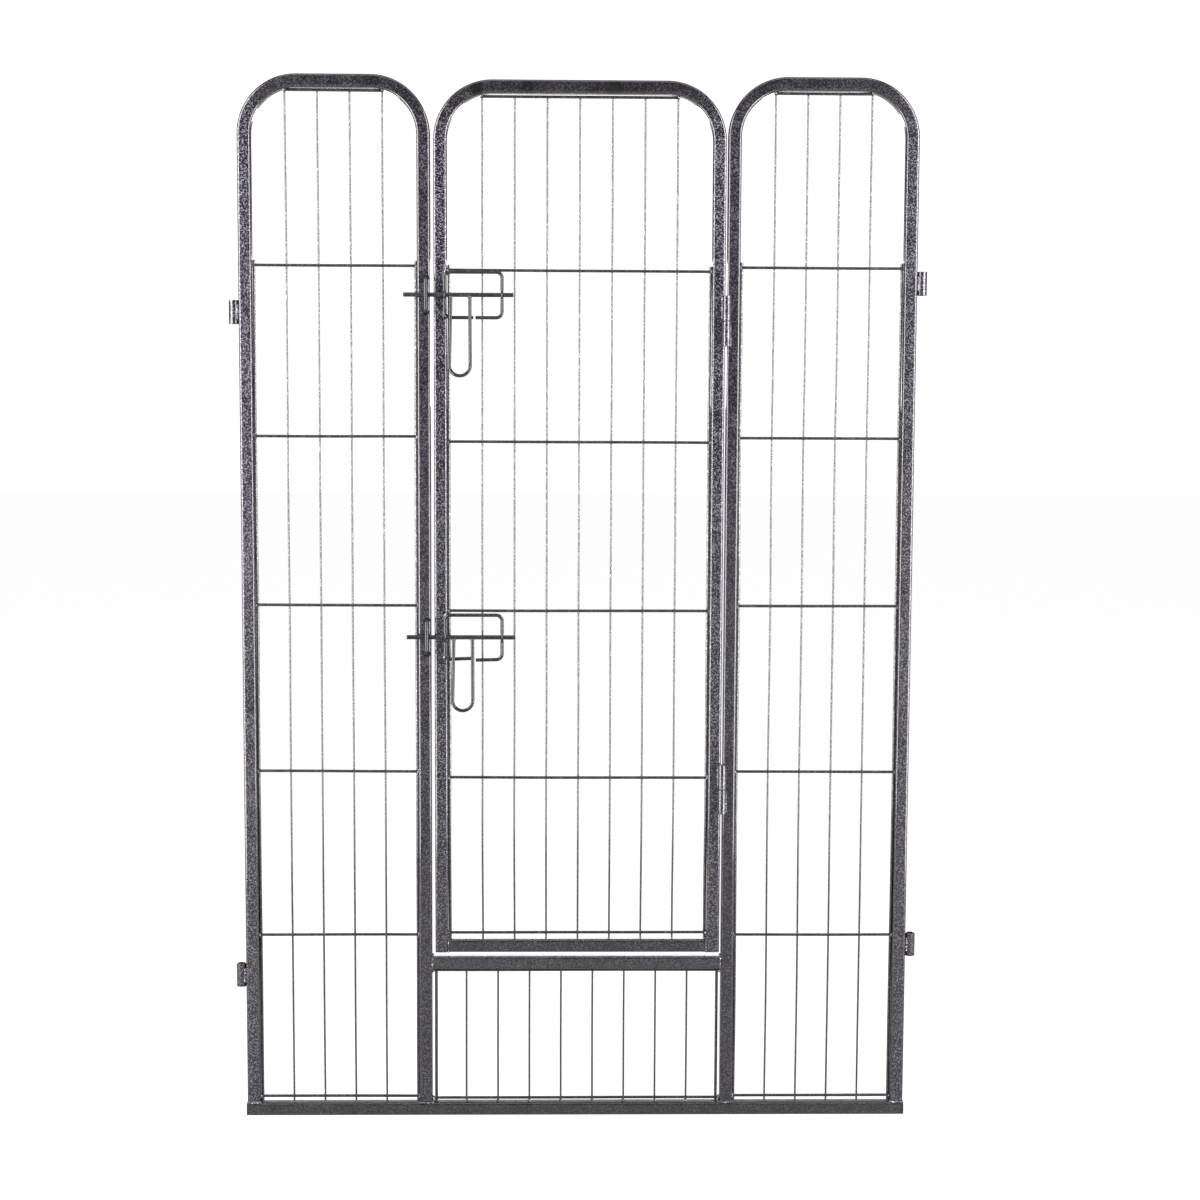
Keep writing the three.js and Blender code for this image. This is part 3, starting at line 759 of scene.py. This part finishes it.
def boltGuide(level):
    node = "bolt_guide_" + level
    low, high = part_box(node)
    rodLow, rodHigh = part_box("bolt_rod_" + level)
    boltY, boltZ = (rodLow.y + rodHigh.y) / 2, (rodLow.z + rodHigh.z) / 2
    half, lift = guide["wire"] / 2, guide["lift"][level]
    left, right, top, bottom = low.x + half, high.x - half, high.z - half, low.z + half
    split = left + guide["splitPlace"]
    corners = [(split + guide["split"] / 2, bottom - lift * guide["liftShare"]), (right, bottom), (right, top),
               (left, top), (left, bottom), (split - guide["split"] / 2, bottom + lift)]
    points = fill(roundedRoute([Vector((x, boltY, z)) for x, z in corners], guide["corner"]), guide["step"])

    def gauge(point):  # the legs are flattened where the rod goes through them
        onLeg = min(abs(point.x - left), abs(point.x - right)) < guide["legSlack"]
        near = abs(point.z - boltZ) / guide["eyeReach"]
        if not onLeg or near >= 1:
            return half, half
        share = 0.5 + 0.5 * math.cos(math.pi * near)
        return half + (guide["eyeThickness"] - half) * share, half + (guide["eyeDepth"] - half) * share

    piece = bentWire(level + "BoltGuide", points, yAxis, gauge, boltPaint)
    start = Vector((left - guide["drillOver"], boltY, boltZ))
    length = right - left + 2 * guide["drillOver"]
    bore = [(0, 0), (guide["hole"], 0), (guide["hole"], length), (0, length)]
    drill = turned("drill", start, xAxis, bore, boltPaint, sides=32)
    cut = piece.modifiers.new("eyes", "BOOLEAN")
    cut.operation, cut.object, cut.solver = "DIFFERENCE", drill, "EXACT"
    depsgraph = bpy.context.evaluated_depsgraph_get()
    piece.data = bpy.data.meshes.new_from_object(piece.evaluated_get(depsgraph), depsgraph=depsgraph)
    piece.modifiers.clear()
    bpy.data.objects.remove(drill)
    return hand(keepFlats(piece, guide["sharp"]), "door", "latch_paint", node)


keeper = {"wire": 4.2 * mm, "corner": 4 * mm, "step": 1.5 * mm, "sink": 0.5 * mm}


def boltKeeper(level):
    node = "bolt_keeper_" + level
    low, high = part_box(node)
    half = keeper["wire"] / 2
    x, outY, stileY = (low.x + high.x) / 2, low.y + half, high.y + keeper["sink"]
    top, bottom = high.z - half, low.z + half
    corners = [Vector((x, y, z)) for y, z in ((stileY, top), (outY, top), (outY, bottom), (stileY, bottom))]
    points = fill(roundedRoute(corners, keeper["corner"]), keeper["step"])
    piece = bentWire(level + "Keeper", points, xAxis, lambda point: (half, half), boltPaint)
    return hand(piece, "panel", "latch_paint", node)


rod = {"chamfer": 0.7 * mm}


def boltRod(level):
    node = "bolt_rod_" + level
    low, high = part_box(node)
    length = high.x - low.x
    profile = [(0, 0)] + eased((high.z - low.z) / 2, length, rod["chamfer"]) + [(0, length)]
    start = Vector((low.x, (low.y + high.y) / 2, (low.z + high.z) / 2))
    return hand(keepFlats(turned(level + "BoltRod", start, xAxis, profile, boltPaint)),
                level + "_bolt", "latch_paint", node)


handle = {
    "wire": 4 * mm,
    "width": 21.4 * mm,
    "flare": math.radians(0.7),
    "lean": math.asin(4.3 / 25.5),  # it passes 4.3 mm in front of the guide's lower wire, 25.5 mm under the rod
    "length": {"upper": 94.6 * mm, "lower": 86 * mm},
    "place": {"upper": -144.6 * mm, "lower": -142.1 * mm},  # first leg, at the rod
    "bendSteps": 32,
    "step": 2 * mm,
}


def boltHandle(level):
    node = "bolt_handle_" + level
    rodLow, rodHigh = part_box("bolt_rod_" + level)
    pivot = Vector((0, (rodLow.y + rodHigh.y) / 2, (rodLow.z + rodHigh.z) / 2))
    half, flare = handle["wire"] / 2, handle["flare"]
    sine, cosine = math.sin(flare), math.cos(flare)
    leg = (handle["length"][level] - half) * cosine / (1 + sine) - handle["width"] / 2
    radius = (handle["width"] / 2 + leg * sine) / cosine
    left = handle["place"][level]
    middle = left + handle["width"] / 2
    flat = [Vector((left, 0, 0)), Vector((left - leg * sine, 0, -leg * cosine))]
    centre = Vector((middle, 0, flat[1].z - radius * sine))
    for i in range(1, handle["bendSteps"] + 1):
        angle = math.pi + flare + math.pi * i / handle["bendSteps"]
        flat.append(centre + Vector((radius * math.cos(angle), 0, radius * math.sin(angle))))
    flat += [Vector((2 * middle - p.x, 0, p.z)) for p in flat[1::-1]]
    lean = Matrix.Rotation(-handle["lean"], 3, "X")
    points = fill([pivot + lean @ p for p in flat], handle["step"])
    piece = bentWire(level + "BoltHandle", points, lean @ yAxis, lambda point: (half, half), boltPaint)
    return hand(piece, level + "_handle", "latch_paint", node)


for level in levels:
    boltGuide(level)
    boltKeeper(level)
    boltRod(level)
    boltHandle(level)
print("slide bolts made")


# Rail end plugs

plug = {
    "flange": 0.8 * mm,
    "outline": (  # place from the flange's back, how much smaller than the rail, corner radius: all in mm
        (-10, 3.6, 1.2), (-9.2, 2.6, 1.5), (0, 2.6, 1.5),
        (0, 0.2, 2.4), (0.15, 0, 2.5), (0.4, 0.1, 2.5), (0.7, 0.9, 2.2), (0.8, 4, 2),
    ),
    "sharp": 50,
}


def squareRing(x, middle, size, corner, steps=6):
    ring = []
    reach = (size / 2 - corner) * math.sqrt(2)
    for quadrant in range(4):
        cornerAngle = (quadrant + 0.5) * math.pi / 2
        for i in range(steps + 1):
            angle = (quadrant + i / steps) * math.pi / 2
            ring.append(Vector((x, middle.y + reach * math.cos(cornerAngle) + corner * math.cos(angle),
                                middle.z + reach * math.sin(cornerAngle) + corner * math.sin(angle))))
    return ring


def endPlug(side, name):
    node = "rail_end_plug_" + name
    low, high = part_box(node)
    middle = (low + high) / 2
    size = high.z - low.z
    inner = (high.x if side > 0 else low.x) - side * plug["flange"]
    rings = [squareRing(inner + side * place * mm, middle, size - less * mm, corner * mm)
             for place, less, corner in plug["outline"]]
    ends = [[Vector((ring[0].x, middle.y, middle.z))] for ring in (rings[0], rings[-1])]
    piece = skin(name + "EndPlug", [ends[0], *rings, ends[1]], plastic)
    return hand(keepFlats(piece, plug["sharp"]), "panel", "plug_plastic", node)


endPlug(-1, "left")
endPlug(1, "right")
print("end plugs made")


# Welds

bead = {
    "pitch": 1.1 * mm,
    "uneven": 0.16,
    "corner": 2.2 * mm,  # a side bead stops this far from the tube's front and back
    "foot": 1.25 * mm,
    "footFaces": ((-1, 0.5 * mm, 1.2 * mm), (1, 0.35 * mm, 0.75 * mm)),  # front or back, depth in it, thickness
    "sill": 1.2 * mm,
    "sillFaces": ((-1, 0.3 * mm, 1.1 * mm), (1, 0.3 * mm, 1.0 * mm)),
    "doorRail": 1.1 * mm,
    "doorRailUp": 0.2 * mm,  # the lower beads sit this far up on the rail
    "doorRailFaces": ((-1, 0.45 * mm, 0.8 * mm), (1, 0.45 * mm, 0.8 * mm)),
    "faceEnd": 2 * mm,  # a face bead stops this far from the rail's edges
    "rowEnd": {"thick": 2.1 * mm, "reach": Vector((0.2, 0.9, 0.7)) * mm, "archIn": 1 * mm, "archUp": 1.2 * mm},
    "kickColumn": {"thick": 1.5 * mm, "half": 0.5 * mm},
    "sleeve": {"thick": 1.9 * mm, "half": 7 * mm, "depth": 3.4 * mm, "in": 0.9 * mm},
    "hinge": {"thick": 1.9 * mm, "in": 0.6 * mm, "out": 1 * mm, "ends": {"fixed": (2, 6), "door": (3, 2)}},
    "keeper": {"thick": 2.5 * mm, "half": 1.6 * mm, "out": 0.5 * mm, "past": 0.9 * mm},
    "guide": {"thick": 1.8 * mm, "in": 0.8 * mm, "out": 1.2 * mm, "half": 3 * mm, "longer": 4 * mm},
    "guideTop": {"thick": 1.7 * mm, "in": 0.2 * mm, "out": 1.6 * mm, "from": 4.4 * mm, "to": 1.5 * mm},
    "handle": {"thick": 1.5 * mm, "half": 1.3 * mm, "out": 0.4 * mm},
}
front, back = -tube["size"] / 2, tube["size"] / 2


def beadPiece(name, body, lines, seed, finish=seamPaint):
    piece = skeleton(name, lines)
    grow(piece, beadNodes, {"Pitch": bead["pitch"], "Uneven": bead["uneven"], "Seed": seed, "Finish": finish})
    return hand(piece, body, "hammertone_paint")


def upright(x, z0, z1, y, gauge):
    return ([(x, y, z0), (x, y, z1)], gauge)


def sideways(x, half, y, z, gauge):
    return ([(x - half, y, z), (x + half, y, z)], gauge)


def through(x, z, gauge):
    return ([(x, front + bead["corner"], z), (x, back - bead["corner"], z)], gauge)


# Fillets at both sides of a tube's foot on a rail, and a flat seam across the joint's front and back.
def footSeams(x, z, half, sides):
    lines = [through(x + side * half, z, bead["foot"]) for side in sides]
    for side, depth, gauge in bead["footFaces"]:
        lines.append(sideways(x, half - bead["faceEnd"], side * (back - depth), z, gauge))
    return lines


# Seams at an end of a rail between two tubes.
def railSeams(x, low, high, faces, gauge, heights):
    lines = [upright(x, low.z + bead["faceEnd"], high.z - bead["faceEnd"], side * (back - depth), thick)
             for side, depth, thick in faces]
    return lines + [through(x, z, gauge) for z in heights]


# Small blobs where the ends of the rows meet the stiles.
def rowEnds(node):
    low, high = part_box(node)
    middle = (low.x + high.x) / 2
    look = bead["rowEnd"]
    reach = look["reach"]
    lines = []
    for i, (z, half) in enumerate(meshRows[node]):
        underArch = i == 0 and node != "kick_mesh"
        inset, lift = (look["archIn"], look["archUp"]) if underArch else (0, 0)
        for side in (-1, 1):
            x = middle + side * (half - inset)
            lines.append(([(x - side * reach.x, rowY - reach.y, z + lift - reach.z),
                           (x + side * reach.x, rowY + reach.y, z + lift + reach.z)], look["thick"]))
    return lines


def hingeSeam(kind, level):
    look = bead["hinge"]
    low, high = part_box(f"hinge_knuckle_{kind}_{level}")
    x = high.x - look["in"] if kind == "fixed" else low.x + look["in"]
    bottom, top = look["ends"][kind]
    return upright(x, low.z + bottom * mm, high.z - top * mm, front - look["out"], look["thick"])


def panelSeams():
    half = tube["size"] / 2
    lines = []
    for node, outerSide in (("left_frame_tube", -1), ("right_frame_tube", 1)):
        low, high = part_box(node)
        lines += footSeams(low.x + half, low.z, half, (1,) if outerSide < 0 else (-1, 1))
        lines += footSeams(high.x - half, low.z, half, (-1,) if outerSide > 0 else (-1, 1))
    low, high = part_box("sill_rail")
    for x in (low.x, high.x):
        lines += railSeams(x, low, high, bead["sillFaces"], bead["sill"], (low.z, high.z))
    for node in ("left_mesh", "right_mesh", "kick_mesh"):
        lines += rowEnds(node)
    look = bead["kickColumn"]
    for x in spread(kickGrid["columns"], kickGrid["pitch"]):
        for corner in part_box("kick_mesh"):
            lines.append(sideways(x, look["half"], columnY, corner.z, look["thick"]))
    look = bead["sleeve"]
    for side in ("left", "right"):
        for level in reversed(levels):
            low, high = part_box(f"connector_sleeve_{side}_{level}")
            x = (low.x + look["in"]) if side == "right" else (high.x - look["in"])
            middle = (low.z + high.z) / 2
            for y in (-look["depth"], look["depth"]):
                lines.append(upright(x, middle - look["half"], middle + look["half"], y, look["thick"]))
    return lines + [hingeSeam("fixed", level) for level in levels]


# The beads on the keepers' ends are near-black and barely reflect.
def keeperSeams():
    look = bead["keeper"]
    half = keeper["wire"] / 2
    lines = []
    for level in levels:
        low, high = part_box("bolt_keeper_" + level)
        for z in (high.z - half + look["past"], low.z + half - look["past"]):
            lines.append(sideways((low.x + high.x) / 2, look["half"], front - look["out"], z, look["thick"]))
    return lines


def doorSeams():
    lines = rowEnds("door_mesh")
    low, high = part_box("door_bottom_rail")
    for x in (low.x, high.x):
        lines += railSeams(x, low, high, bead["doorRailFaces"], bead["doorRail"],
                           (low.z + bead["doorRailUp"], high.z))
    look, topLook = bead["guide"], bead["guideTop"]
    for level in levels:
        lines.append(hingeSeam("door", level))
        low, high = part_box("bolt_guide_" + level)
        x, half = low.x + guide["wire"] / 2, look["half"]
        top, bottom = high.z - guide["corner"], low.z + guide["corner"]
        for z0, z1 in ((top - half, top + half), (bottom - half, bottom + look["longer"])):
            lines.append(upright(x - look["in"], z0, z1, front - look["out"], look["thick"]))
        lines.append(upright(x + topLook["in"], high.z - topLook["from"], high.z - topLook["to"],
                             front - topLook["out"], topLook["thick"]))
    return lines


def handleSeams(level):
    look = bead["handle"]
    low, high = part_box("bolt_rod_" + level)
    first = handle["place"][level]
    return [sideways(x, look["half"], (low.y + high.y) / 2 - look["out"], low.z, look["thick"])
            for x in (first, first + handle["width"])]


beadPiece("panelWelds", "panel", panelSeams(), 11)
beadPiece("keeperWelds", "panel", keeperSeams(), 13, nearBlackPaint)
beadPiece("doorWelds", "door", doorSeams(), 17)
for level, seed in zip(levels, (23, 29)):
    beadPiece(level + "HandleWelds", level + "_handle", handleSeams(level), seed)
print("welds made")


# Studio

studio = {
    "world": 1.12,
    "room": 0.06,  # what the paint sees of the room between the lights
    "floorSize": 40,
    "floorGlow": 0.975,
    "floorLight": 0.45,  # what the paint sees of it
    "floorShade": 0.14,
    "floorRoughness": 0.9,
}
lights = {
    "side": {"power": 72, "size": (0.95, 2.1), "place": (1.22, -0.82, 1.07), "target": (0.12, -0.02, 1.07)},
    "top": {"power": 14, "size": (1.6, 1.6), "place": (0, -0.5, 2.3), "target": (0, 0, 0.6)},
    "back": {"power": 17, "size": (3.4, 0.45), "place": (0, 4.0, 1.08), "target": (0, 0, 0.5)},
}


# Bright to the camera, darker to everything that it lights.
def cameraOnly(tree, socket, others, toCamera):
    seen = put(tree, "ShaderNodeLightPath").outputs["Is Camera Ray"]
    tree.links.new(span(tree, seen, 0.0, 1.0, others, toCamera), socket)


def whiteFloor():
    bpy.ops.mesh.primitive_plane_add(size=studio["floorSize"])
    floor = bpy.context.object
    floor.name = "floor"
    material = bpy.data.materials.new("floorWhite")
    material.use_nodes = True
    sockets = material.node_tree.nodes["Principled BSDF"].inputs
    sockets["Base Color"].default_value = (studio["floorShade"],) * 3 + (1,)
    sockets["Roughness"].default_value = studio["floorRoughness"]
    sockets["Specular IOR Level"].default_value = 0.0
    sockets["Emission Color"].default_value = (1, 1, 1, 1)
    cameraOnly(material.node_tree, sockets["Emission Strength"], studio["floorLight"], studio["floorGlow"])
    floor.data.materials.append(material)


def whiteRoom():
    world = bpy.data.worlds.new("studioWhite")
    bpy.context.scene.world = world
    world.use_nodes = True
    sockets = world.node_tree.nodes["Background"].inputs
    sockets["Color"].default_value = (1, 1, 1, 1)
    cameraOnly(world.node_tree, sockets["Strength"], studio["room"], studio["world"])


def areaLight(name, look, side=1):
    place, target = (Vector((side * x, y, z)) for x, y, z in (look["place"], look["target"]))
    light = bpy.data.lights.new(name, "AREA")
    light.energy = look["power"]
    light.shape = "RECTANGLE"
    light.size, light.size_y = look["size"]
    lamp = bpy.data.objects.new(name, light)
    lamp.location = place
    lamp.rotation_euler = (target - place).to_track_quat("-Z", "Y").to_euler()
    lamp.visible_camera = False
    bpy.context.scene.collection.objects.link(lamp)


whiteFloor()
whiteRoom()
areaLight("leftLight", lights["side"], -1)
areaLight("rightLight", lights["side"])
areaLight("topLight", lights["top"])
areaLight("backLight", lights["back"])

view = {"place": (-17.3 * mm, -2.300, 814.3 * mm), "down": 5.13, "turn": 1.07, "roll": 0.25,
        "lens": 60.11, "sensor": 36}
camera = bpy.data.objects.new("camera", bpy.data.cameras.new("camera"))
bpy.context.scene.collection.objects.link(camera)
camera.data.lens, camera.data.sensor_width = view["lens"], view["sensor"]
camera.location = view["place"]
camera.rotation_euler = (
    Matrix.Rotation(-math.radians(view["turn"]), 3, "Z")
    @ Matrix.Rotation(math.radians(90 - view["down"]), 3, "X")
    @ Matrix.Rotation(math.radians(view["roll"]), 3, "Z")
).to_euler()
bpy.context.scene.camera = camera
bpy.context.scene.view_settings.view_transform = "Standard"
print("studio set")
